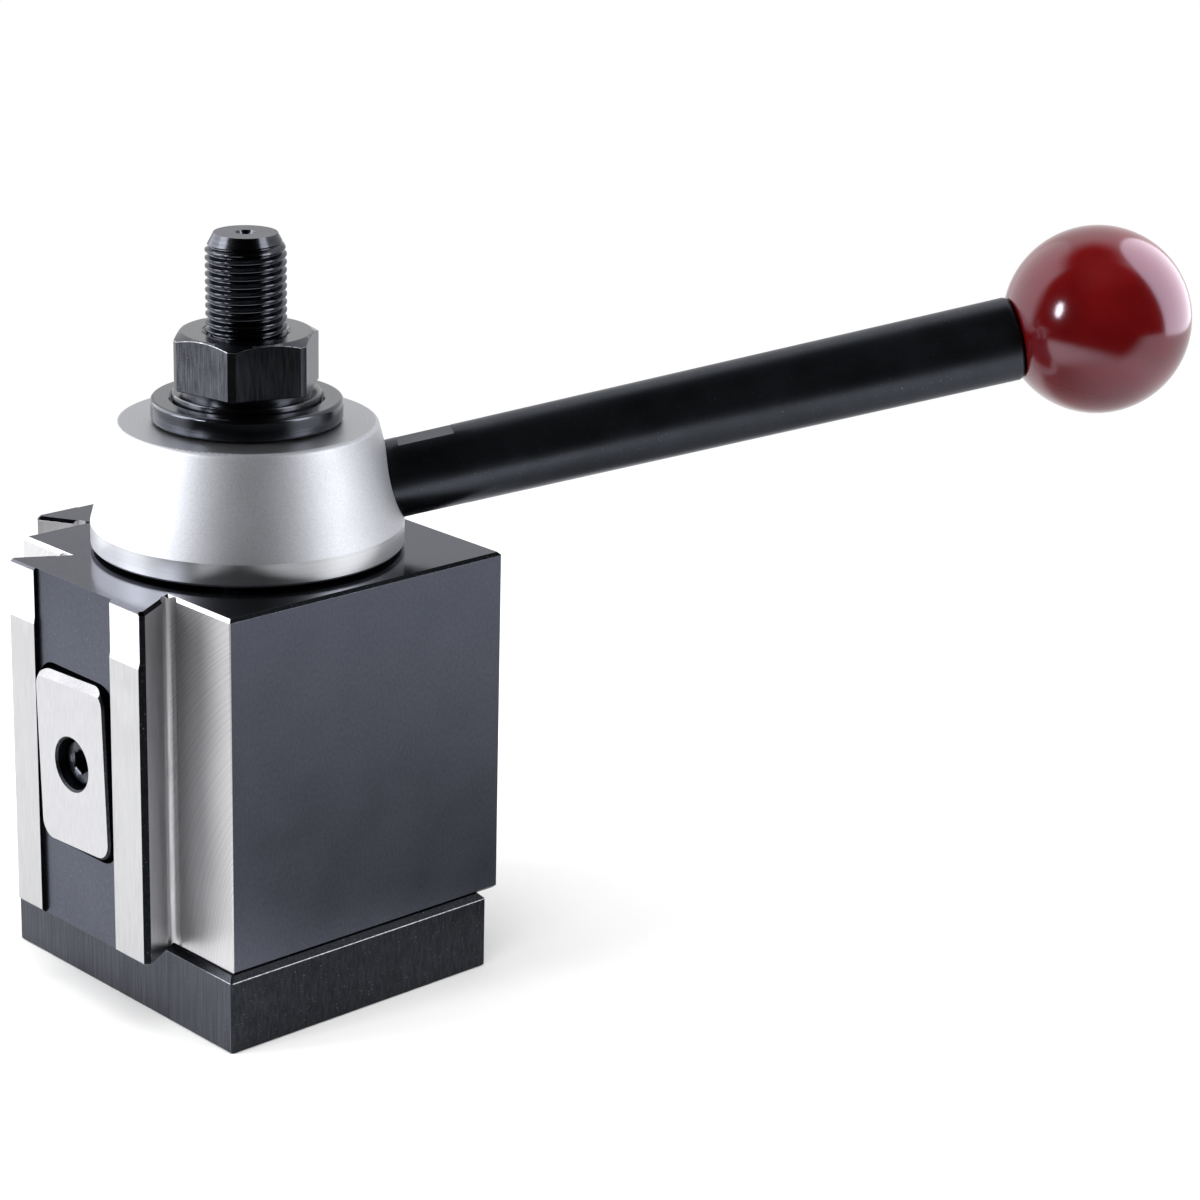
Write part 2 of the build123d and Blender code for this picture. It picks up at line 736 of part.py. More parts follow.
nodes = {
    "t_nut": make_t_nut(),
    "stud": make_stud(),
    "post_body": make_body(),
    "centre_sleeve": make_centre_sleeve(),
    "thrust_washer": make_thrust_washer(),
    "retaining_wire": make_retaining_wire(),
    "dust_seal": make_dust_seal(),
    "stop_pin": make_stop_pin(),
    "cam_sleeve": make_cam(),
    "hub_dowels": make_dowels(),
    "hub_cap": make_hub(),
    "handle_rod": make_handle_rod(),
    "knob": make_knob(),
    "knob_insert": make_knob_insert(),
    "front_plunger": on_front(front_piston),
    "front_spring": on_front(spring),
    "front_shoe": on_front(make_shoe(front_shoe_turn)),
    "front_screw": on_front(make_shoe_screw(front_shoe_turn)),
    "side_plunger": on_side(front_piston),
    "side_spring": on_side(spring),
    "side_shoe": on_side(make_shoe(side_shoe_turn)),
    "side_screw": on_side(make_shoe_screw(side_shoe_turn)),
    "flange_washer": make_washer(),
    "clamp_nut": make_nut(),
}

for name, shape in nodes.items():
    export_step(shape, f"parts/{name}.step")
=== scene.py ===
import math
import bmesh
import bpy
from mathutils import Matrix, Vector


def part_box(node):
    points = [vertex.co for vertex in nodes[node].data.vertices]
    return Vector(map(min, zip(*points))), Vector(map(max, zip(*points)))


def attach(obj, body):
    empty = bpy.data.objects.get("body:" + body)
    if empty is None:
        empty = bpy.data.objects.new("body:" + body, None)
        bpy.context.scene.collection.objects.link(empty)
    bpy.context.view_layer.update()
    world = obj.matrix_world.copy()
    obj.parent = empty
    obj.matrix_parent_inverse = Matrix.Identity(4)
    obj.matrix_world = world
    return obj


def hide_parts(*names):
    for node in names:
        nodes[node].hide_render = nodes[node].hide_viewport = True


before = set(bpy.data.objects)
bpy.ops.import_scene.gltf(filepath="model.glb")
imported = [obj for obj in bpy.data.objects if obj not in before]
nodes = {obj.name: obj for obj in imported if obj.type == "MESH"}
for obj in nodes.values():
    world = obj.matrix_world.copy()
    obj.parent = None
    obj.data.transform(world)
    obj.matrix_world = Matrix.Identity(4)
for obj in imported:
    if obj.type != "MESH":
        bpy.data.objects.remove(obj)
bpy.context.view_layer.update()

MM = 0.001


# T-nut. A plain block of mild steel, side-milled all round and blacked in hot salts, left for the
# owner to machine down to the slot of their lathe. The stud is screwed into its threaded hole.

def linear(code):
    """An sRGB colour code as the linear values that a shader takes."""
    channels = [int(code[place:place + 2], 16) / 255 for place in (1, 3, 5)]
    values = [c / 12.92 if c <= 0.04045 else ((c + 0.055) / 1.055) ** 2.4 for c in channels]
    return values + [1.0]


def add_node(tree, kind, inputs=None, **settings):
    """Adds a node, gives it its settings, and fills its inputs with values or with other nodes' outputs."""
    node = tree.nodes.new(kind)
    for name, value in settings.items():
        setattr(node, name, value)
    for name, value in (inputs or {}).items():
        if isinstance(value, bpy.types.NodeSocket):
            tree.links.new(value, node.inputs[name])
        else:
            node.inputs[name].default_value = value
    return node


def new_material(name, **values):
    """A material with one Principled shader, and its values set on the shader's own sockets."""
    material = bpy.data.materials.new(name)
    material.use_nodes = True
    tree = material.node_tree
    tree.nodes.clear()
    inputs = {key.replace("_", " "): value for key, value in values.items()}
    shader = add_node(tree, "ShaderNodeBsdfPrincipled", inputs)
    add_node(tree, "ShaderNodeOutputMaterial", {"Surface": shader.outputs[0]})
    return material, tree, shader


def stretched_noise(tree, size, detail=3.0, roughness=0.5):
    """Noise whose grains measure size, in millimetres, along the piece's own X, Y and Z."""
    place = add_node(tree, "ShaderNodeTexCoord").outputs["Object"]
    scale = [1 / (length * MM) for length in size]
    scaled = add_node(tree, "ShaderNodeMapping", {"Vector": place, "Scale": scale})
    return add_node(tree, "ShaderNodeTexNoise", {
        "Vector": scaled.outputs[0], "Scale": 1.0, "Detail": detail, "Roughness": roughness}).outputs["Fac"]


def link_finish(tree, shader, blend, dark, light, clouds, dull, height=None, strength=0.0, depth=0.0):
    """Links a finish to its shader: a colour between dark and light, a roughness that drifts with the clouds
    between two values, and bumps as high as the height says, depth millimetres at most."""
    colour = add_node(tree, "ShaderNodeMix", {0: blend, 6: linear(dark), 7: linear(light)}, data_type="RGBA")
    tree.links.new(colour.outputs[2], shader.inputs["Base Color"])
    rough = add_node(tree, "ShaderNodeMapRange", {0: clouds, 1: 0.3, 2: 0.7, 3: dull[0], 4: dull[1]})
    tree.links.new(rough.outputs[0], shader.inputs["Roughness"])
    if height is not None:
        bump = add_node(tree, "ShaderNodeBump", {
            "Height": height, "Strength": strength, "Distance": depth * MM})
        tree.links.new(bump.outputs[0], shader.inputs["Normal"])
    return colour.outputs[2]


def black_oxide(name, light, dark, roughness, grain, depth, cloud_size=14):
    """Black oxide on machined steel: a thin dark blue-grey film that shines like the metal under it, so the
    cutter's marks still show. The film keeps glancing light down, so that its edges don't flare up as bare
    steel's do. grain is the size of one mark in millimetres, depth how deep it looks."""
    material, tree, shader = new_material(name, Metallic=1.0, Specular_Tint=(0.78, 0.78, 0.8, 1.0))
    marks = stretched_noise(tree, grain)
    clouds = stretched_noise(tree, (cloud_size, cloud_size, cloud_size))
    shade = add_node(tree, "ShaderNodeMapRange", {0: marks, 1: 0.25, 2: 0.75, 3: 0.1, 4: 0.9}).outputs[0]
    patchy = add_node(tree, "ShaderNodeMapRange", {0: clouds, 1: 0.35, 2: 0.65, 3: -0.1, 4: 0.1}).outputs[0]
    blend = add_node(tree, "ShaderNodeMath", {0: shade, 1: patchy}, operation="ADD", use_clamp=True)
    dull = (roughness * 0.9, roughness * 1.1)
    film = link_finish(tree, shader, blend.outputs[0], dark, light, clouds, dull, marks, 0.35, depth)
    # Grit a quarter of a millimetre across has pricked the film here and there.
    grit = stretched_noise(tree, (0.25, 0.25, 0.25), detail=1.0)
    pricks = add_node(tree, "ShaderNodeMapRange", {0: grit, 1: 0.72, 2: 0.78, 3: 0.0, 4: 0.6}).outputs[0]
    pricked = add_node(tree, "ShaderNodeMix", {0: pricks, 6: film, 7: linear("#9a9ca2")}, data_type="RGBA")
    tree.links.new(pricked.outputs[2], shader.inputs["Base Color"])
    return material


def finish_node(name, material):
    """Gives a node that is carried over as it stands its own material."""
    slots = nodes[name].material_slots
    for slot in slots:
        slot.link = "OBJECT"
        slot.material = material
    if not slots:
        nodes[name].data.materials.append(material)


def new_piece(name, points, faces, material, crease=32, place=None):
    """A mesh piece from points in millimetres, smooth except where faces meet at more than crease degrees."""
    mesh = bpy.data.meshes.new(name)
    mesh.from_pydata([Vector(point) * MM for point in points], [], faces)
    joined = bmesh.new()
    joined.from_mesh(mesh)
    bmesh.ops.remove_doubles(joined, verts=joined.verts, dist=0.002 * MM)
    bmesh.ops.recalc_face_normals(joined, faces=joined.faces)
    joined.to_mesh(mesh)
    joined.free()
    mesh.shade_smooth()
    mesh.set_sharp_from_angle(angle=math.radians(crease))
    mesh.materials.append(material)
    piece = bpy.data.objects.new(name, mesh)
    bpy.context.collection.objects.link(piece)
    if place is not None:
        piece.matrix_world = place
    return piece


def rows_of_rings(rings, climb=(0, 0), climb_rows=0):
    """Faces between neighbouring rings of points, all rings with the same number of points. The rings from
    the first to the last of climb rise like a screw, and each ends at the start of the one climb_rows on."""
    count = len(rings[0])
    points = [point for ring in rings for point in ring]
    faces = []
    for row in range(len(rings) - 1):
        climbs = climb[0] <= row < climb[1] - 1
        for step in range(count):
            low, high = row * count + step + 1, (row + 1) * count + step + 1
            if step == count - 1:
                jump = climb_rows if climbs else 0
                if climbs and row + 1 + jump >= climb[1]:
                    continue
                low, high = (row + jump) * count, (row + 1 + jump) * count
            faces.append((row * count + step, low, high, (row + 1) * count + step))
    return points, faces


t_nut_low, t_nut_high = (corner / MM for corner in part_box("t_nut"))
t_nut_corner = 0.3
t_nut_top_edge = 1.0
t_nut_foot_edge = 0.3
t_nut_hole = 7.175
hole_edge = 0.6
edge_lip = 0.07


def block_ring(inset, height, side_steps=12):
    """Points round the T-nut, set in from its sides, with its upright corners broken."""
    left, right = t_nut_low.x + inset, t_nut_high.x - inset
    near, far = t_nut_low.y + inset, t_nut_high.y - inset
    edge = t_nut_corner
    corners = [(right, near + edge), (right, far - edge), (right - edge, far), (left + edge, far),
               (left, far - edge), (left, near + edge), (left + edge, near), (right - edge, near)]
    ring = []
    for (ax, ay), (bx, by) in zip(corners, corners[1:] + corners[:1]):
        for step in range(side_steps):
            share = step / side_steps
            ring.append((ax + (bx - ax) * share, ay + (by - ay) * share, height))
    return ring


def hole_ring(radius, height):
    """Points round the T-nut's hole, one facing each point of its outline."""
    ring = []
    for x, y, level in block_ring(0, height):
        out = math.hypot(x, y)
        ring.append((radius * x / out, radius * y / out, level))
    return ring


# Side milling leaves upright streaks a third of a millimetre wide, each a little lighter or darker.
milled_black = black_oxide("black oxide on milled steel", "#5b5d64", "#393b41", 0.36, (0.3, 0.3, 12), 0.014)
top_edge = t_nut_high.z - t_nut_top_edge
t_nut_rings = [
    hole_ring(t_nut_hole, 0.0),
    block_ring(t_nut_foot_edge, 0.0),
    block_ring(0.0, t_nut_foot_edge),
    block_ring(0.0, top_edge - edge_lip),
    block_ring(edge_lip, top_edge + edge_lip),
    block_ring(t_nut_top_edge, t_nut_high.z),
    hole_ring(t_nut_hole + hole_edge, t_nut_high.z),
    hole_ring(t_nut_hole, t_nut_high.z - hole_edge),
    hole_ring(t_nut_hole, 0.0),
]
t_nut = new_piece("milled_t_nut", *rows_of_rings(t_nut_rings), milled_black, crease=15)
# Handling rubs the film off the edges, down to grey steel here and there.
rubbed_black = black_oxide("black oxide rubbed thin on an edge", "#9a9ca2", "#45474c", 0.32,
                           (0.7, 0.7, 0.7), 0.004)
t_nut.data.materials.append(rubbed_black)
# Its ends, the faces along Y, take a darker copy of the milled film: painted shade, for the end that mirrors
# the shadowed floor beside the block.
end_shade_black = black_oxide("black oxide with painted shade on the ends", "#35373c", "#202125", 0.4, (0.5, 0.5, 2), 0.01)
t_nut.data.materials.append(end_shade_black)
for face in t_nut.data.polygons:
    on_lip = abs(face.center.z / MM - top_edge) < edge_lip
    # Faces that look along Y get the darker film: painted shade.
    painted_shade_end = abs(face.normal.y) > 0.6
    face.material_index = 1 if on_lip else 2 if painted_shade_end else 0
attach(t_nut, "root")
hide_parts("t_nut")


# Stud. Alloy steel with a rolled fine thread, black oxide and oiled. Its lead is turned to a cone, and
# its end still shows the centre hole that it was turned on.

def ring_of(radius, height, turns):
    """Points round the Z axis."""
    return [(radius * math.cos(turn), radius * math.sin(turn), height) for turn in turns]


even_turns = [2 * math.pi * step / 96 for step in range(96)]
stud_low, stud_high = (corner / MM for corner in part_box("stud"))
stud_radius = (stud_high.x - stud_low.x) / 2
stud_end = stud_high.z
thread_pitch = 25.4 / 18
thread_depth = 0.6 * thread_pitch
thread_bottom = 98.0
lead_length = 2.85
lead_radius = 5.6
hole_rim = 1.8
hole_radius = 1.05
hole_depth = 5.0
drill_point = 0.6
foot_edge = 0.5
axis_radius = 0.01
# One pitch of the thread: how far along it each ring lies, and how near the crest.
shape_of_thread = [(0.0, 1.0), (0.06, 1.0), (0.12, 0.97), (0.28, 0.5), (0.44, 0.05), (0.5, 0.0), (0.56, 0.05),
                   (0.72, 0.5), (0.88, 0.97), (0.94, 1.0)]


def thread_rings(low, high, radius_at, turns, pitch=thread_pitch, start=thread_bottom):
    """Rings that climb one pitch in a turn from low to high, and lie level at both ends. radius_at gives the
    radius for a place on the climb, a height, and a share of the pitch from 0 at a groove to 1 at a crest."""
    first = math.floor((low - start) / pitch) - 1
    last = math.ceil((high - start) / pitch) + 1
    rings = []
    for turn in range(first, last):
        for share, crest in shape_of_thread:
            ring = []
            for angle in turns:
                climb = start + pitch * (turn + share + angle / (2 * math.pi))
                level = min(max(climb, low), high)
                radius = radius_at(climb, level, crest)
                ring.append((radius * math.cos(angle), radius * math.sin(angle), level))
            rings.append(ring)
    return rings


def threaded_rows(before, thread, after):
    """Faces over plain rings, then a thread's rings, then plain rings again."""
    climb = (len(before), len(before) + len(thread))
    return rows_of_rings(before + thread + after, climb, len(shape_of_thread))


def thread_radius(crest):
    """The stud thread's radius between a groove, where crest is 0, and a crest, where it is 1."""
    return stud_radius - thread_depth * (1 - crest)


def stud_outside(climb, level, crest):
    """The stud's radius: full below the thread, threaded above it, and cut back by the lead."""
    radius = thread_radius(crest)
    if climb < thread_bottom:
        return stud_radius
    lead_start = stud_end - lead_length
    if level > lead_start:
        lead = stud_radius - (stud_radius - lead_radius) * (level - lead_start) / lead_length
        radius = min(radius, lead) if climb < stud_end else lead
    return radius


# Rolling burnishes the thread, so its film is glossy, and oil makes it deeper than on the milled block.
oiled_black = black_oxide("oiled black oxide on a rolled thread", "#54565d", "#404247", 0.19,
                          (3, 3, 0.4), 0.003)
cone_depth = (hole_rim - hole_radius) * 1.73
foot_rings = [
    ring_of(axis_radius, stud_low.z, even_turns),
    ring_of(stud_radius - foot_edge, stud_low.z, even_turns),
    ring_of(stud_radius, stud_low.z + foot_edge, even_turns),
]
end_rings = [
    ring_of(hole_rim, stud_end, even_turns),
    ring_of(hole_radius, stud_end - cone_depth, even_turns),
    ring_of(hole_radius, stud_end - hole_depth, even_turns),
    ring_of(axis_radius, stud_end - hole_depth - drill_point, even_turns),
]
stud_thread = thread_rings(thread_bottom, stud_end, stud_outside, even_turns)
stud = new_piece("threaded_stud", *threaded_rows(foot_rings, stud_thread, end_rings), oiled_black)
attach(stud, "root")
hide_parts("stud")


# Post body. Alloy steel, milled square with a dovetail on two faces, blacked all over, then ground bare
# on the lands and shoulders where a tool holder seats. The shoulders keep the arcs of the grinding cup.

def ground_steel(name, light, dark, roughness, grain, depth, unevenness=0.15):
    """Bare ground steel: light grey and metallic, brushed along the way that the wheel ran over it."""
    material, tree, shader = new_material(name, Metallic=1.0)
    marks = stretched_noise(tree, grain, detail=4.0)
    clouds = stretched_noise(tree, (6, 6, 6))
    blend = add_node(tree, "ShaderNodeMapRange", {0: marks, 1: 0.25, 2: 0.75, 3: 0.0, 4: 1.0}).outputs[0]
    dull = (roughness * (1 - unevenness), roughness * (1 + unevenness))
    link_finish(tree, shader, blend, dark, light, clouds, dull, marks, 0.25, depth)
    return material


def cup_ground_steel(name, light, dark, roughness, spacing, centre):
    """Steel faced with a grinding cup: bare, with fine arcs struck round a centre off the face."""
    material, tree, shader = new_material(name, Metallic=1.0)
    place = add_node(tree, "ShaderNodeTexCoord").outputs["Object"]
    struck = add_node(tree, "ShaderNodeVectorMath", {
        0: place, 1: [c * MM for c in centre]}, operation="DISTANCE").outputs["Value"]
    wander = stretched_noise(tree, (14, 14, 14))
    arcs = add_node(tree, "ShaderNodeMath", {
        0: struck, 1: 1 / (spacing * MM)}, operation="MULTIPLY").outputs[0]
    shifted = add_node(tree, "ShaderNodeMath", {0: wander, 1: 3.0, 2: arcs}, operation="MULTIPLY_ADD")
    lines = add_node(tree, "ShaderNodeTexNoise", {
        "W": shifted.outputs[0], "Scale": 1.0, "Detail": 2.0, "Roughness": 0.6}, noise_dimensions="1D")
    grit = stretched_noise(tree, (0.25, 0.25, 0.6))
    both = add_node(tree, "ShaderNodeMath", {
        0: grit, 1: 0.35, 2: lines.outputs["Fac"]}, operation="MULTIPLY_ADD").outputs[0]
    blend = add_node(tree, "ShaderNodeMapRange", {0: both, 1: 0.45, 2: 0.95, 3: 0.0, 4: 1.0}).outputs[0]
    dull = (roughness * 0.9, roughness * 1.1)
    link_finish(tree, shader, blend, dark, light, wander, dull, both, 0.3, 0.012)
    return material


body_low, body_high = (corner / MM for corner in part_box("post_body"))
land_distance = -body_low.x
body_top = body_high.z
shoulder_distance = 28.5
tip_distance = shoulder_distance + 8.35
relief_start = body_top - 10.1
cup_centre = (-shoulder_distance, -75.0, 10.0)
# Limits between the finishes, set a little clear of the edges that they part: outward from the stud for
# the root grooves and the lands, across from the middle of a face for the rest, and upward for the pocket.
root_limit = shoulder_distance - 0.7
land_limit = land_distance - 0.3
channel_half = 12.0
tip_half = 18.0
dovetail_half = 20.0
pocket_low, pocket_high = 15.0, 78.0

# The body is ground before it is blacked, so its film is smooth and satin, with hardly any marks.
body_black = black_oxide("satin black oxide on ground steel", "#575a64", "#4b4e58", 0.3,
                         (0.5, 0.5, 0.8), 0.003, 10)
# The top is lapped, so the film on it mirrors the hub.
top_black = black_oxide("black oxide on the lapped top", "#55575e", "#4b4d54", 0.13,
                        (2.5, 0.3, 2.5), 0.0006, 20)
# The surface grinder runs up and down the lands and leaves hair-fine upright lines.
land_steel = ground_steel("bare ground steel of the lands", "#b9b9bb", "#ababad", 0.36,
                          (0.22, 0.22, 4), 0.003)
# The relieved ends are milled back a little and left as they come off the cutter, matt and speckled.
relief_steel = ground_steel("bare milled steel of the relieved ends", "#e2e2e3", "#cfcfd0", 0.5,
                            (0.3, 0.3, 0.3), 0.008)
# A cup wheel faces the shoulders, and its edge leaves arcs 0.3 mm apart.
shoulder_steel = cup_ground_steel("cup-ground steel of the shoulders", "#d2d1d3", "#bcbbbd", 0.4, 0.3,
                                  cup_centre)
# The flanks are ground with the side of a dressed wheel, along the dovetail.
flank_steel = ground_steel("bare ground steel of the flanks", "#c2c2c5", "#b0b0b3", 0.34,
                           (0.25, 0.25, 9), 0.003)
# The tips and the chamfers on the plain faces are filed or milled, then blacked and never ground, so they
# stay dull and swallow the light. The walls of the pockets take the same near-black film as painted shade,
# for the dark deep in the pockets.
tip_black_and_pocket_shade = black_oxide("dull black oxide on filed edges", "#222428", "#101114", 0.55, (0.3, 0.3, 0.9), 0.03)
body_finishes = (body_black, top_black, land_steel, relief_steel, shoulder_steel, flank_steel, tip_black_and_pocket_shade,
                 rubbed_black)


def body_finish(face):
    """Which of the body's finishes a face has, from where the face lies and which way it looks."""
    centre = face.center / MM
    front = (-face.normal.x, -centre.x, centre.y)
    side = (face.normal.y, centre.y, centre.x)
    for outward, distance, across in (front, side):
        if abs(across) > land_distance or distance < root_limit:
            continue
        if outward > 0.85 and distance > land_limit:
            return relief_steel if centre.z > relief_start else land_steel
        if outward > 0.6 and distance < shoulder_distance + 0.1:
            return shoulder_steel
        if channel_half < abs(across) < dovetail_half and abs(face.normal.z) < 0.5:
            if distance < tip_distance:
                return flank_steel
            if distance < land_limit and abs(across) > tip_half:
                return tip_black_and_pocket_shade
        # Pocket walls: near-black as painted shade, for the dark deep in the pocket.
        if abs(across) < channel_half and abs(outward) < 0.5 and pocket_low < centre.z < pocket_high:
            return tip_black_and_pocket_shade
    if 0.5 < face.normal.z < 0.85 and face.normal.x - face.normal.y > 0.5:
        return tip_black_and_pocket_shade
    return top_black if face.normal.z > 0.5 else body_black


def broken_edges(source, name, width, sharper_than=28):
    """A copy of a node's mesh with each clear outside edge broken by a narrow flat, as a stone leaves it."""
    mesh = source.data.copy()
    mesh.name = name
    mesh.materials.clear()
    for face in mesh.polygons:
        face.material_index = 0
    solid = bmesh.new()
    solid.from_mesh(mesh)
    bmesh.ops.remove_doubles(solid, verts=solid.verts, dist=0.001 * MM)
    bmesh.ops.dissolve_limit(solid, angle_limit=math.radians(0.2), verts=solid.verts, edges=solid.edges)
    clear = [edge for edge in solid.edges if edge.is_manifold and edge.is_convex
             and edge.calc_face_angle(0.0) > math.radians(sharper_than)]
    broken = bmesh.ops.bevel(solid, geom=clear, offset=width * MM, offset_type="OFFSET", segments=1,
                             profile=0.5, affect="EDGES", clamp_overlap=True, loop_slide=True)
    for face in broken["faces"]:
        face.material_index = 1
    solid.to_mesh(mesh)
    solid.free()
    mesh.shade_smooth()
    mesh.set_sharp_from_angle(angle=math.radians(12))
    return mesh


stoned_width = 0.12
body_mesh = broken_edges(nodes["post_body"], "dovetail_body", stoned_width)
for finish in body_finishes:
    body_mesh.materials.append(finish)
for face in body_mesh.polygons:
    finish = body_finish(face)
    if face.material_index == 1 and finish in (body_black, top_black):
        finish = rubbed_black
    face.material_index = body_finishes.index(finish)
body = bpy.data.objects.new("dovetail_body", body_mesh)
bpy.context.collection.objects.link(body)
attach(body, "post")
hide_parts("post_body")


# What sits in the bore: the sleeve that carries the nut's load, the bearing washer under the cam, the
# sprung wire that keeps the cam in, the rubber dust seal, the stop pin, and the cam with its dowels.

# Ground on a mandrel, so fine lines run round it.
sleeve_steel = ground_steel("turned and ground sleeve steel", "#b9babd", "#a4a5a8", 0.3, (4, 4, 0.2), 0.003)
# Hardening leaves the cam a little darker and warmer than soft steel, even where it is ground.
cam_steel = ground_steel("hardened and ground cam steel", "#a8a7a6", "#8f8e8e", 0.28, (4, 4, 0.25), 0.003)
# Pins run between two wheels and come out brightest.
pin_steel = ground_steel("centreless ground pin steel", "#c4c5c8", "#afb0b4", 0.22, (2, 2, 0.2), 0.002)
# Drawing and tempering leave the wire dull and a little brown.
spring_steel = ground_steel("drawn spring wire", "#8d8c8b", "#6f6e6e", 0.35, (0.6, 0.6, 0.6), 0.004)
# Bronze darkens soon after turning, to a dull yellow-brown.
bronze = ground_steel("bearing bronze", "#b9905a", "#9c7443", 0.4, (1.5, 1.5, 0.3), 0.004)
# Rubber only glints where light grazes it, and its mould gives it a fine even grain.
seal_rubber, seal_tree, seal_shader = new_material("moulded nitrile rubber", Specular_IOR_Level=0.35)
seal_grain = stretched_noise(seal_tree, (0.4, 0.4, 0.4))
link_finish(seal_tree, seal_shader, seal_grain, "#0f1011", "#232427", seal_grain, (0.55, 0.75))
finish_node("centre_sleeve", sleeve_steel)
finish_node("thrust_washer", bronze)
finish_node("retaining_wire", spring_steel)
finish_node("dust_seal", seal_rubber)
finish_node("stop_pin", pin_steel)
finish_node("cam_sleeve", cam_steel)
finish_node("hub_dowels", pin_steel)


# Pistons, springs, shoes and screws, one set in each dovetail. The shoes are blacked all over and then
# ground bare on their faces, like the lands, and a black socket screw holds each to its piston.

shoe_steel = ground_steel("bare ground steel of the shoes", "#c0c0c3", "#aeaeb1", 0.38,
                          (0.22, 0.22, 3), 0.004)
# Cold heading leaves a screw smooth, so its film shines more than on a milled face.
screw_black = black_oxide("black oxide on a socket screw", "#5a5c64", "#3a3c42", 0.28,
                          (1.2, 1.2, 1.2), 0.004)
# The lead-in at the top is ground like the face. It takes a darker, slightly rougher copy of its steel:
# painted shade, so that the upward-tilted bevel doesn't flare brighter than the face.
lead_shade_steel = ground_steel("ground steel of the lead-in, with painted shade", "#949497", "#808083", 0.45,
                          (0.4, 0.4, 0.4), 0.006)
# The film on the edges and in the counterbore is as it came out of the bath.
shoe_black = black_oxide("black oxide on the shoe's edges", "#3a3c41", "#1f2124", 0.4, (0.6, 0.6, 0.6), 0.006)
shoe_ends = {"front": ("piston_a", Vector((-1, 0, 0))), "side": ("piston_b", Vector((0, 1, 0)))}
for side, (piston, outward) in shoe_ends.items():
    finish_node(side + "_plunger", cam_steel)
    finish_node(side + "_spring", spring_steel)
    shoe_mesh = nodes[side + "_shoe"].data.copy()
    shoe_mesh.name = side + "_ground_shoe"
    shoe_mesh.materials.clear()
    for finish in (shoe_steel, lead_shade_steel, shoe_black):
        shoe_mesh.materials.append(finish)
    for face in shoe_mesh.polygons:
        facing = face.normal.dot(outward)
        at_front = face.center.dot(outward) / MM > land_distance
        # The bevel between the face and the top takes the darker lead-in steel: painted shade.
        face.material_index = 0 if facing > 0.95 and at_front else 1 if 0.8 < facing < 0.9 else 2
    shoe = bpy.data.objects.new(side + "_ground_shoe", shoe_mesh)
    bpy.context.collection.objects.link(shoe)
    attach(shoe, piston)
    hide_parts(side + "_shoe")

# Socket head cap screws, 5 mm, along their own Z axis with the top of the head at 0.
screw_turns = [2 * math.pi * step / 72 for step in range(72)]
head_radius = 4.25
head_height = 5.0
head_round = 0.5
head_foot_edge = 0.35
knurl_depth = 0.13
knurl_start = 0.2
knurl_end_gap = 0.25
shank_radius = 2.5
screw_tip = -17.0
screw_tip_edge = 0.4
screw_pitch = 0.8
screw_neck = -6.6
socket_half = 2.0
socket_depth = 2.5
socket_rim = 1.2 * socket_half
socket_rim_depth = 0.22
socket_floor_edge = 0.15
socket_point = 0.7


def screw_outside(climb, level, crest):
    """The shank's radius: chamfered at its tip, threaded, and plain under the head."""
    if climb > screw_neck:
        return shank_radius
    tip = shank_radius - screw_tip_edge + level - screw_tip
    return min(shank_radius - 0.6 * screw_pitch * (1 - crest), tip) if climb > screw_tip else tip


def flat_sided(half, headings, turn):
    """How far a ray at a turn runs before it meets one of the flats, which all lie half away from the
    axis. A flat that the ray runs along or away from counts as far off."""
    return min(half / max(math.cos(turn - math.radians(heading)), 0.1) for heading in headings)


def socket_ring(inset, level):
    """Points round the hexagon socket."""
    reach = [flat_sided(socket_half - inset, range(0, 360, 60), turn) for turn in screw_turns]
    return [(r * math.cos(turn), r * math.sin(turn), level) for r, turn in zip(reach, screw_turns)]


def knurled_ring(level):
    """Points round the head, with every second one sunk into the knurl."""
    reach = [head_radius - knurl_depth * (step % 2) for step in range(len(screw_turns))]
    return [(r * math.cos(turn), r * math.sin(turn), level) for r, turn in zip(reach, screw_turns)]


screw_start = [
    ring_of(axis_radius, screw_tip, screw_turns),
    ring_of(shank_radius - screw_tip_edge, screw_tip, screw_turns),
]
screw_thread = thread_rings(screw_tip, screw_neck, screw_outside, screw_turns, screw_pitch, screw_tip)
screw_end = [
    ring_of(shank_radius, -head_height, screw_turns),
    ring_of(head_radius - head_foot_edge, -head_height, screw_turns),
    knurled_ring(-head_height + knurl_start),
    knurled_ring(-head_round - knurl_end_gap),
    ring_of(head_radius - knurl_depth, -head_round, screw_turns),
]
for step in range(1, 6):
    bend = math.pi / 2 * step / 5
    screw_end.append(ring_of(head_radius - knurl_depth - head_round * (1 - math.cos(bend)),
                             -head_round * (1 - math.sin(bend)), screw_turns))
screw_end += [
    ring_of(socket_rim, 0.0, screw_turns),
    socket_ring(0.0, -socket_rim_depth),
    socket_ring(0.0, -socket_depth),
    socket_ring(socket_floor_edge, -socket_depth),
    ring_of(axis_radius, -socket_depth - socket_point, screw_turns),
]
# The front screw is turned with its shoe, which stands 2.4 degrees out of square.
for side, across, turn in (("front", (0, -1, 0), 2.4), ("side", (-1, 0, 0), 0.0)):
    outward = shoe_ends[side][1]
    screw_low, screw_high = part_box(side + "_screw")
    head_top = (screw_low + screw_high) / 2 + outward * (-screw_tip * MM / 2)
    axes = Matrix((across, (0, 0, 1), outward)).transposed().to_4x4()
    place = Matrix.Translation(head_top) @ axes @ Matrix.Rotation(math.radians(turn), 4, "Z")
    screw = new_piece(side + "_cap_screw", *threaded_rows(screw_start, screw_thread, screw_end), screw_black,
                      place=place)
    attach(screw, shoe_ends[side][0])
    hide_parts(side + "_screw")


# Hub. Turned from steel bar as a cone on a short straight band, satin chrome plated, with a rounded top
# edge. The band keeps the rings of the turning tool, and the cone is blasted smooth before plating.

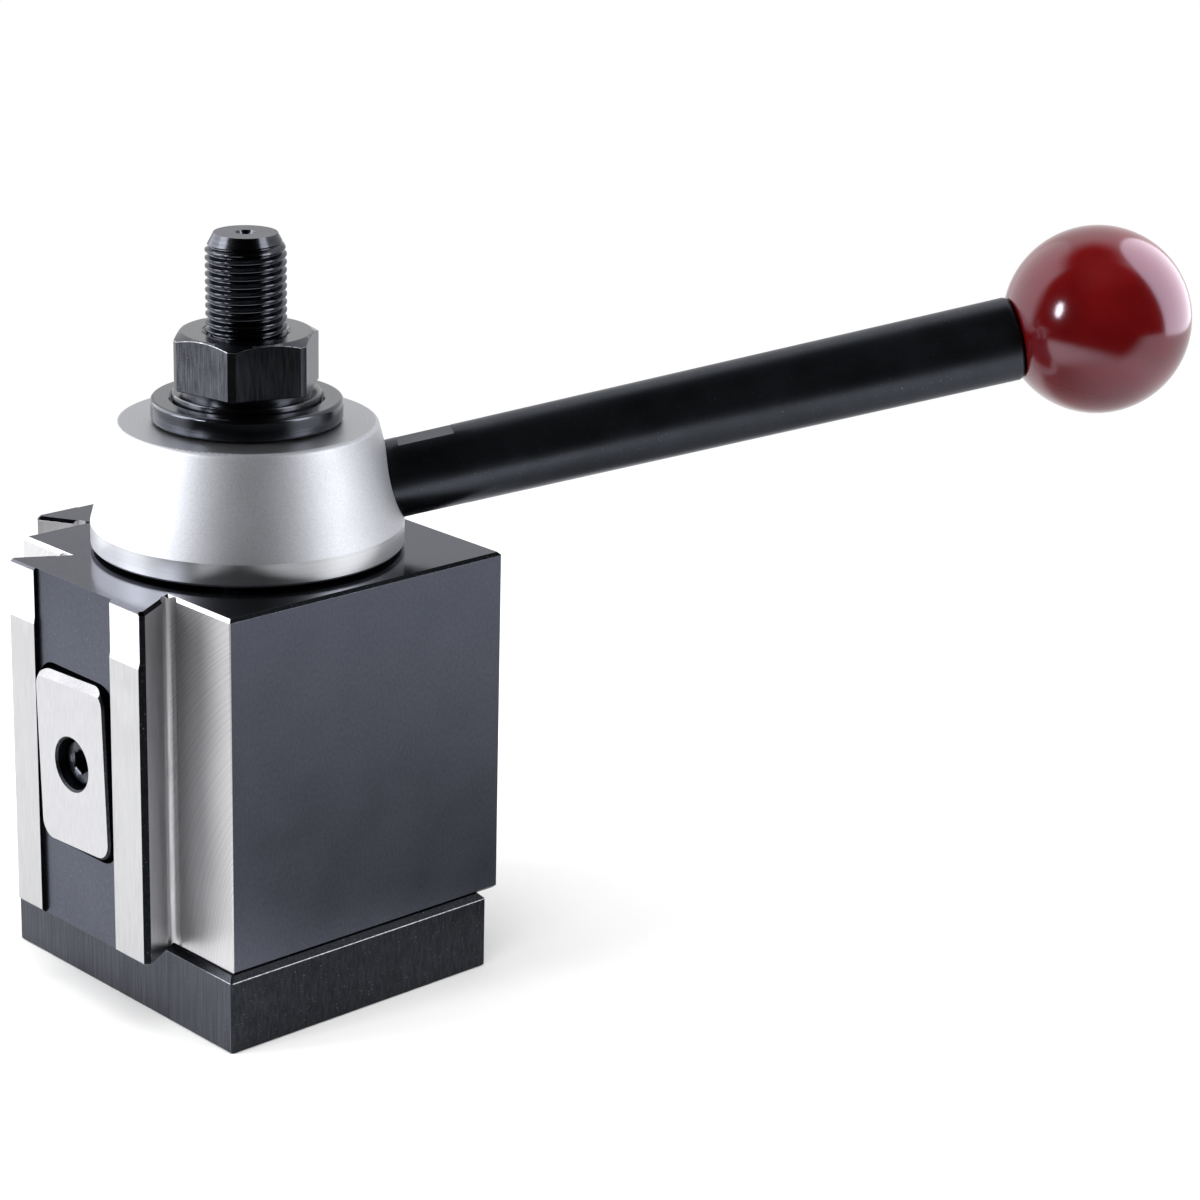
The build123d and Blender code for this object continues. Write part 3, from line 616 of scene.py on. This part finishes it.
def turned_metal(name, light, dark, roughness, spacing, depth):
    """Metal turned on a lathe: rings run round the piece, one for each step of the tool."""
    material, tree, shader = new_material(name, Metallic=1.0)
    place = add_node(tree, "ShaderNodeTexCoord").outputs["Object"]
    parts = add_node(tree, "ShaderNodeSeparateXYZ", {0: place})
    across = add_node(tree, "ShaderNodeCombineXYZ", {"X": parts.outputs["X"], "Y": parts.outputs["Y"]})
    radius = add_node(tree, "ShaderNodeVectorMath", {0: across.outputs[0]}, operation="LENGTH")
    lines = add_node(tree, "ShaderNodeCombineXYZ", {"X": radius.outputs["Value"], "Z": parts.outputs["Z"]})
    rings = add_node(tree, "ShaderNodeTexNoise", {
        "Vector": lines.outputs[0], "Scale": 1 / (spacing * MM), "Detail": 2.0}).outputs["Fac"]
    clouds = stretched_noise(tree, (12, 12, 12))
    both = add_node(tree, "ShaderNodeMath", {0: clouds, 1: 0.5, 2: rings}, operation="MULTIPLY_ADD")
    blend = add_node(tree, "ShaderNodeMapRange", {0: both.outputs[0], 1: 0.5, 2: 1.0, 3: 0.0, 4: 1.0})
    dull = (roughness * 0.95, roughness * 1.05)
    link_finish(tree, shader, blend.outputs[0], dark, light, clouds, dull, rings, 0.3, depth)
    return material


# Blasting wipes out the tool's rings, so the chrome glows softly, with a grain a third of a millimetre
# wide.
satin_chrome = ground_steel("satin chrome over blasted steel", "#d6d8de", "#c4c6cc", 0.55,
                            (0.35, 0.35, 0.35), 0.01, unevenness=0.03)
# The band at its foot isn't blasted, so it shines more and keeps the tool's fine rings.
band_chrome = turned_metal("chrome over the turned band", "#e6e8ec", "#d6d8dc", 0.36, 0.3, 0.001)
# The top face is turned flat and only lightly blasted.
top_chrome = turned_metal("chrome over the hub's turned top", "#b4b5b9", "#a6a7ab", 0.4, 0.3, 0.001)
hub_low, hub_high = (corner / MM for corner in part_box("hub_cap"))
band_height = 4.25
band_top = hub_low.z + band_height
top_reach = 23.0
top_margin = 0.05


def hub_slot(face):
    """Which of the hub's finishes a face has: 0 on the cone, 1 on the band and 2 on the top."""
    centre = face.center / MM
    if centre.z > hub_high.z - top_margin and math.hypot(centre.x, centre.y) < top_reach:
        return 2
    return 1 if centre.z < band_top else 0


hub_mesh = nodes["hub_cap"].data.copy()
hub_mesh.name = "chromed_hub"
hub_mesh.materials.clear()
for finish in (satin_chrome, band_chrome, top_chrome):
    hub_mesh.materials.append(finish)
for face in hub_mesh.polygons:
    face.material_index = hub_slot(face)
hub = bpy.data.objects.new("chromed_hub", hub_mesh)
bpy.context.collection.objects.link(hub)
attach(hub, "hub")
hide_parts("hub_cap")


# Handle and knob. The bar is turned with a slow taper, gloss black, with two bare flats for a wrench. The
# ball is red thermoset, moulded round a brass insert and polished.

# Polished before blacking and oiled: the darkest and smoothest film on the post.
bar_black = black_oxide("gloss black oxide on a turned bar", "#4a4d54", "#414449", 0.33, (5, 5, 5), 0.001)
finish_node("handle_rod", bar_black)
# Free-cutting brass comes off the lathe bright and smooth.
brass = ground_steel("turned brass", "#d9b36a", "#c29a50", 0.25, (2, 2, 0.3), 0.003)
finish_node("knob_insert", brass)
# Buffed thermoset: a deep red with a hard, slightly blue shine over it, and faint clouds from the moulding.
red_phenolic, red_tree, red_shader = new_material(
    "polished red thermoset", IOR=1.55, Specular_IOR_Level=0.85, Specular_Tint=(0.92, 0.86, 1.0, 1.0))
swirl = stretched_noise(red_tree, (9, 9, 9), detail=5.0)
swirled = add_node(red_tree, "ShaderNodeMapRange", {0: swirl, 1: 0.3, 2: 0.7, 3: 0.0, 4: 1.0}).outputs[0]
link_finish(red_tree, red_shader, swirled, "#580506", "#6a0809", swirl, (0.14, 0.16))
finish_node("knob", red_phenolic)


# Washer and nut. Both are turned from steel bar and blacked to a gloss; the nut's flats are milled from
# top to bottom, and its foot is a round collar that turns in the washer's recess.

# Turned and blacked: the film is glossy, with the lathe tool's rings just showing.
washer_black = turned_metal("gloss black oxide on a turned washer", "#55575e", "#44464c", 0.2, 0.25, 0.0012)
# The nut's flats keep the fine upright lines of the milling cutter.
nut_black = black_oxide("black oxide on milled nut flats", "#6a6c73", "#2b2d32", 0.25, (0.28, 0.28, 4), 0.008)
finish_node("flange_washer", washer_black)

nut_low, nut_high = (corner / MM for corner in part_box("clamp_nut"))
nut_top = nut_high.z
turned_radius = nut_high.x
flat_distance = 11.7
flat_headings = [71.2 + 60 * step for step in range(6)]
top_circle = 11.4
top_slope = math.tan(math.radians(30))
hexagon_height = 9.8
groove_height = 1.0
collar_height = 2.1
hexagon_bottom = nut_top - hexagon_height
collar_top = hexagon_bottom - groove_height
collar_bottom = collar_top - collar_height
collar_round = 0.4
groove_radius = 11.5
mouth_radius = 7.9
mouth_edge = 0.1
mouth_slope = 0.775 / 0.7
nut_thread_gap = 0.12
foot_break = 0.15
skirt_bore = 7.4
skirt_radius = 8.35
flare_radius = skirt_radius + 0.95
flare_top = nut_low.z + 0.65
flare_fall = 0.1
arc_break = 0.09
# A flat spans less than 60 degrees, because the blank is left round over twice this angle at each corner.
corner_half = 30 - math.degrees(math.acos(flat_distance / turned_radius))
flat_span = 60 - 2 * corner_half
nut_turns = []
for heading in flat_headings:
    flat_start = heading - 30 + corner_half
    nut_turns += [math.radians((flat_start + flat_span * step / 12) % 360) for step in range(13)]
    nut_turns += [math.radians((heading + 30 + corner_half * share) % 360) for share in (-0.4, 0.4)]
nut_turns = sorted(set(round(turn, 6) for turn in nut_turns))
nut_reach = [min(flat_sided(flat_distance, flat_headings, turn), turned_radius) for turn in nut_turns]


def nut_inside(climb, level, crest):
    """The bore's radius: plain in the skirt, then threaded to suit the stud, and opened out at its mouth."""
    if climb < collar_bottom:
        return skirt_bore
    return max(thread_radius(crest) + nut_thread_gap, mouth_radius - (nut_top - level) * mouth_slope)


def hexagon_ring(inset, level_at):
    """Points round the hexagon and its turned corners, at a height worked out from how far out each lies."""
    return [((r - inset) * math.cos(turn), (r - inset) * math.sin(turn), level_at(r - inset))
            for r, turn in zip(nut_reach, nut_turns)]


def chamfer_level(reach):
    """The height of the turned chamfer, which starts at the top circle and falls outward."""
    return nut_top - (reach - top_circle) * top_slope


nut_start = [ring_of(skirt_bore, nut_low.z, nut_turns)]
nut_thread = thread_rings(collar_bottom, nut_top, nut_inside, nut_turns)
nut_end = [
    ring_of(mouth_radius + mouth_edge, nut_top, nut_turns),
    ring_of(top_circle - arc_break, nut_top, nut_turns),
    ring_of(top_circle + arc_break, nut_top - arc_break * top_slope, nut_turns),
    hexagon_ring(arc_break, chamfer_level),
    hexagon_ring(0.0, lambda reach: chamfer_level(reach) - arc_break),
    hexagon_ring(0.0, lambda reach: hexagon_bottom + foot_break),
    hexagon_ring(foot_break, lambda reach: hexagon_bottom),
    ring_of(groove_radius, hexagon_bottom, nut_turns),
    ring_of(groove_radius, collar_top, nut_turns),
]
for step in range(6):
    bend = math.pi / 2 * step / 5
    nut_end.append(ring_of(turned_radius - collar_round * (1 - math.sin(bend)),
                           collar_top - collar_round * (1 - math.cos(bend)), nut_turns))
nut_end += [
    ring_of(turned_radius, collar_bottom + foot_break, nut_turns),
    ring_of(turned_radius - foot_break, collar_bottom, nut_turns),
    ring_of(skirt_radius, collar_bottom, nut_turns),
    ring_of(skirt_radius, flare_top + flare_fall, nut_turns),
    ring_of(flare_radius, flare_top, nut_turns),
    ring_of(flare_radius, nut_low.z, nut_turns),
    ring_of(skirt_bore, nut_low.z, nut_turns),
]
nut = new_piece("captive_nut", *threaded_rows(nut_start, nut_thread, nut_end), nut_black, crease=11)
nut.data.materials.append(washer_black)
nut.data.materials.append(rubbed_black)
# Only the flats are milled: the rest is turned, the round corners too, and handling rubs the film thin on
# the hexagon's outer edges.
small_area = 0.5 * MM * MM
edge_margin = 0.2
corner_margin = 0.05
for face in nut.data.polygons:
    centre = face.center / MM
    reach = math.hypot(centre.x, centre.y)
    upright = abs(face.normal.z) < 0.1
    on_hexagon = centre.z > hexagon_bottom and reach > top_circle
    at_foot = centre.z < hexagon_bottom + edge_margin
    at_chamfer = face.area < small_area and abs(centre.z - chamfer_level(reach)) < arc_break
    outer = reach > flat_distance - edge_margin
    rubbed = on_hexagon and outer and not upright and (at_foot or at_chamfer)
    milled = on_hexagon and upright and reach < turned_radius - corner_margin
    face.material_index = 2 if rubbed else 0 if milled else 1
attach(nut, "nut")
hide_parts("clamp_nut")


# Floor. White paper that keeps the soft shadow under the post and runs out into the white background.
# It throws less light on the post than it shows the camera, so the post's foot isn't washed out.

def white_strength(tree, as_light):
    """Full white for what the camera, a mirror or a glass sees, and as_light for the light that falls on a
    piece."""
    ray = add_node(tree, "ShaderNodeLightPath").outputs
    mirrored = add_node(tree, "ShaderNodeMath", {
        0: ray["Is Camera Ray"], 1: ray["Is Glossy Ray"]}, operation="MAXIMUM").outputs[0]
    seen = add_node(tree, "ShaderNodeMath", {
        0: mirrored, 1: ray["Is Transmission Ray"]}, operation="MAXIMUM").outputs[0]
    return add_node(tree, "ShaderNodeMapRange", {0: seen, 1: 0.0, 2: 1.0, 3: as_light, 4: 1.0}).outputs[0]


white_paper = bpy.data.materials.new("white paper")
white_paper.use_nodes = True
paper = white_paper.node_tree
paper.nodes.clear()
paper_place = add_node(paper, "ShaderNodeTexCoord").outputs["Object"]
distance = add_node(paper, "ShaderNodeVectorMath", {0: paper_place}, operation="LENGTH").outputs["Value"]
sheet_end, white_start = 0.10, 0.42
run_out = add_node(paper, "ShaderNodeMapRange", {
    "Value": distance, "From Min": sheet_end, "From Max": white_start},
    interpolation_type="SMOOTHSTEP").outputs[0]
sheet = add_node(paper, "ShaderNodeBsdfDiffuse", {"Color": linear("#ececec")})
paper_light = 0.45
open_white = add_node(paper, "ShaderNodeEmission", {
    "Color": linear("#ffffff"), "Strength": white_strength(paper, paper_light)})
whole = add_node(paper, "ShaderNodeMixShader", {0: run_out, 1: sheet.outputs[0], 2: open_white.outputs[0]})
add_node(paper, "ShaderNodeOutputMaterial", {"Surface": whole.outputs[0]})
floor_half = 4000
floor_corners = [(x * floor_half, y * floor_half, 0) for x, y in ((-1, -1), (1, -1), (1, 1), (-1, 1))]
floor = new_piece("floor", floor_corners, [(0, 1, 2, 3)], white_paper)


# Studio. Soft white all round, a strip lamp on each side and a large one overhead. The room behind the
# camera and the ceiling are dark, as in a white tent with one open side, and the metal mirrors them.

world = bpy.data.worlds.new("white tent")
bpy.context.scene.world = world
world.use_nodes = True
sky = world.node_tree
sky.nodes.clear()
tent_light = 0.5
tent = add_node(sky, "ShaderNodeBackground", {
    "Color": linear("#ffffff"), "Strength": white_strength(sky, tent_light)})
add_node(sky, "ShaderNodeOutputWorld", {"Surface": tent.outputs[0]})

camera_heading = -43.6
middle = Vector((0.02, -0.01, 0.07))
ball_centre = (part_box("knob")[0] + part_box("knob")[1]) / 2


def beside_camera(turn, rise, reach, centre=middle):
    """A place seen from the post at an angle to the right of the camera and a rise above the floor."""
    heading = math.radians(camera_heading + turn)
    lift = math.radians(rise)
    toward = Vector((math.sin(heading) * math.cos(lift), -math.cos(heading) * math.cos(lift), math.sin(lift)))
    return centre + toward * reach


def soft_lamp(name, turn, rise, reach, width, height, power, shape="RECTANGLE", centre=middle):
    """A lamp of a width and height in metres and a power in watts, which faces the post or another centre."""
    lamp = bpy.data.lights.new(name, "AREA")
    lamp.shape = shape
    lamp.size = width
    lamp.size_y = height
    lamp.energy = power
    holder = bpy.data.objects.new(name, lamp)
    holder.location = beside_camera(turn, rise, reach, centre)
    holder.rotation_mode = "QUATERNION"
    holder.rotation_quaternion = (centre - holder.location).to_track_quat("-Z", "Y")
    bpy.context.collection.objects.link(holder)
    return holder


left_strip = soft_lamp("left_strip", -80, 20, 0.85, 0.36, 0.85, 6.3)
left_wall = soft_lamp("left_wall", -118, 18, 0.9, 0.8, 0.9, 4.6, "ELLIPSE")
right_strip = soft_lamp("right_strip", 73, 20, 0.85, 0.34, 0.85, 4.2)
soft_lamp("window", -53, 22, 0.8, 0.14, 0.26, 1.7, "ELLIPSE")
overhead = soft_lamp("overhead", 10, 78, 1.1, 0.9, 0.9, 9)
overhead.visible_glossy = False
ball_left = soft_lamp("ball_left", -118, 18, 0.9, 1.7, 1.6, 2.5, "ELLIPSE", ball_centre)
ball_side = soft_lamp("ball_side", 116, 14, 0.5, 0.75, 1.3, 6.5, "ELLIPSE", ball_centre)
ball_side.data.color = (0.9, 0.87, 1.0)

# Those beside the post are for the post: black flags keep them off the ball, which has a soft lamp of its
# own on each side.
for lamp, state in ((left_strip, "EXCLUDE"), (left_wall, "EXCLUDE"), (right_strip, "EXCLUDE"),
                    (ball_left, "INCLUDE"), (ball_side, "INCLUDE")):
    lit = bpy.data.collections.new(lamp.name + "_reach")
    lit.objects.link(nodes["knob"])
    lit.collection_objects[0].light_linking.link_state = state
    lamp.light_linking.receiver_collection = lit

dark_room = bpy.data.materials.new("dark room")
dark_room.use_nodes = True
room_tree = dark_room.node_tree
room_tree.nodes.clear()
cover = add_node(room_tree, "ShaderNodeAttribute", attribute_name="cover").outputs["Fac"]
clear_air = add_node(room_tree, "ShaderNodeBsdfTransparent")
black_cloth = add_node(room_tree, "ShaderNodeEmission", {"Color": linear("#101114"), "Strength": 1.0})
veil = add_node(room_tree, "ShaderNodeMixShader", {
    0: cover, 1: clear_air.outputs[0], 2: black_cloth.outputs[0]})
add_node(room_tree, "ShaderNodeOutputMaterial", {"Surface": veil.outputs[0]})


def between(value, low, high):
    """A share that rises smoothly from 0 at low to 1 at high."""
    share = min(max((value - low) / (high - low), 0.0), 1.0)
    return share * share * (3 - 2 * share)


# Each edge of the dark room is soft: it starts at the first angle, in degrees to the right of the camera or
# above the floor, and is complete at the second.
cloth_left, cloth_right = (-98, -88), (80, 88)
grey_end = (120, 145)
ceiling_edge = (52, 72)
side_grey = 0.15


def room_cover(turn, rise):
    """How dark the room is in a direction: black behind the camera and overhead, grey on the right."""
    behind_camera = between(turn, *cloth_left) * (1 - between(turn, *cloth_right))
    grey_side = side_grey * between(turn, *cloth_right) * (1 - between(turn, *grey_end))
    return max(behind_camera, grey_side, between(rise, *ceiling_edge))


# On the floor the dark starts at a distance from the post, in metres, and two greys overlap on the right. The
# greys are painted shadow: they stand for the post's shadow on the floor beside it, and only the metal's
# reflections see them.
floor_left, floor_right, floor_dark = (-78, -58), (48, 66), (0.18, 0.32)
near_shadow_grey, near_shadow_side, near_shadow_end = 0.42, (5, 35), (0.05, 0.2)
far_shadow_grey, far_shadow_side, far_shadow_end = 0.3, (20, 50), (0.18, 0.27)
floor_shadow_end = (125, 145)


def floor_cover(turn, reach):
    """The same on the floor, which is white near the post and grey on the right. The grey there is painted
    shadow of the post on the floor, seen only in reflections.
    """
    behind_camera = between(turn, *floor_left) * (1 - between(turn, *floor_right))
    far_behind = behind_camera * between(reach, *floor_dark)
    # Painted shadow of the post on the right, greyest at its foot and fading outward.
    near = near_shadow_grey * (1 - between(reach, *near_shadow_end)) * between(turn, *near_shadow_side)
    far = far_shadow_grey * (1 - between(reach, *far_shadow_end)) * between(turn, *far_shadow_side)
    return max(far_behind, (near + far) * (1 - between(turn, *floor_shadow_end)))


room_points = []
room_faces = []
room_covers = []


def room_grid(turns, steps, place_at, cover_at):
    """A grid of faces over turns and steps, each point with its own cover."""
    start = len(room_points)
    for turn in turns:
        for step in steps:
            room_points.append(place_at(turn, step))
            room_covers.append(cover_at(turn, step))
    for row in range(len(turns) - 1):
        for column in range(len(steps) - 1):
            first = start + row * len(steps) + column
            room_faces.append((first, first + len(steps), first + len(steps) + 1, first + 1))


room_reach = 0.95
floor_reach = 0.045
drop = middle.z - 2 * MM
round_turns = list(range(-180, 181, 3))
horizon = -math.degrees(math.asin(drop / room_reach))
rises = [horizon] + list(range(0, 91, 5))
reaches = [floor_reach + (room_reach - floor_reach) * (step / 30) ** 1.5 for step in range(31)]
room_grid(round_turns, rises, lambda turn, rise: beside_camera(turn, rise, room_reach), room_cover)
room_grid(round_turns, reaches, lambda turn, reach: beside_camera(turn, 0, reach) - Vector((0, 0, drop)),
          floor_cover)
room_mesh = bpy.data.meshes.new("dark_room")
room_mesh.from_pydata(room_points, [], room_faces)
room_mesh.attributes.new("cover", "FLOAT", "POINT").data.foreach_set("value", room_covers)
room_mesh.materials.append(dark_room)
room = bpy.data.objects.new("dark_room", room_mesh)
bpy.context.collection.objects.link(room)
room.visible_camera = False
room.visible_diffuse = False
room.visible_transmission = False
room.visible_shadow = False


# Camera, at the photograph's place and with its lens: a long one, a little above the post, so the post's
# upright edges lean together only slightly.

lens_mm = 102.06
eye = Vector((-0.3531, -0.4620, 0.2616))
heading = math.radians(camera_heading)
pitch = math.radians(18.33)
roll = math.radians(1.45)
back = Vector((math.sin(heading) * math.cos(pitch), -math.cos(heading) * math.cos(pitch), math.sin(pitch)))
level_right = Vector((math.cos(heading), math.sin(heading), 0.0))
level_up = back.cross(level_right)
right = level_right * math.cos(roll) + level_up * math.sin(roll)
up = level_up * math.cos(roll) - level_right * math.sin(roll)
camera_data = bpy.data.cameras.new("camera")
camera_data.lens = lens_mm
camera_data.sensor_width = 36.0
camera = bpy.data.objects.new("camera", camera_data)
camera.matrix_world = Matrix.Translation(eye) @ Matrix((right, up, back)).transposed().to_4x4()
bpy.context.collection.objects.link(camera)
bpy.context.scene.camera = camera
bpy.context.scene.view_settings.view_transform = "Standard"

bpy.context.view_layer.update()
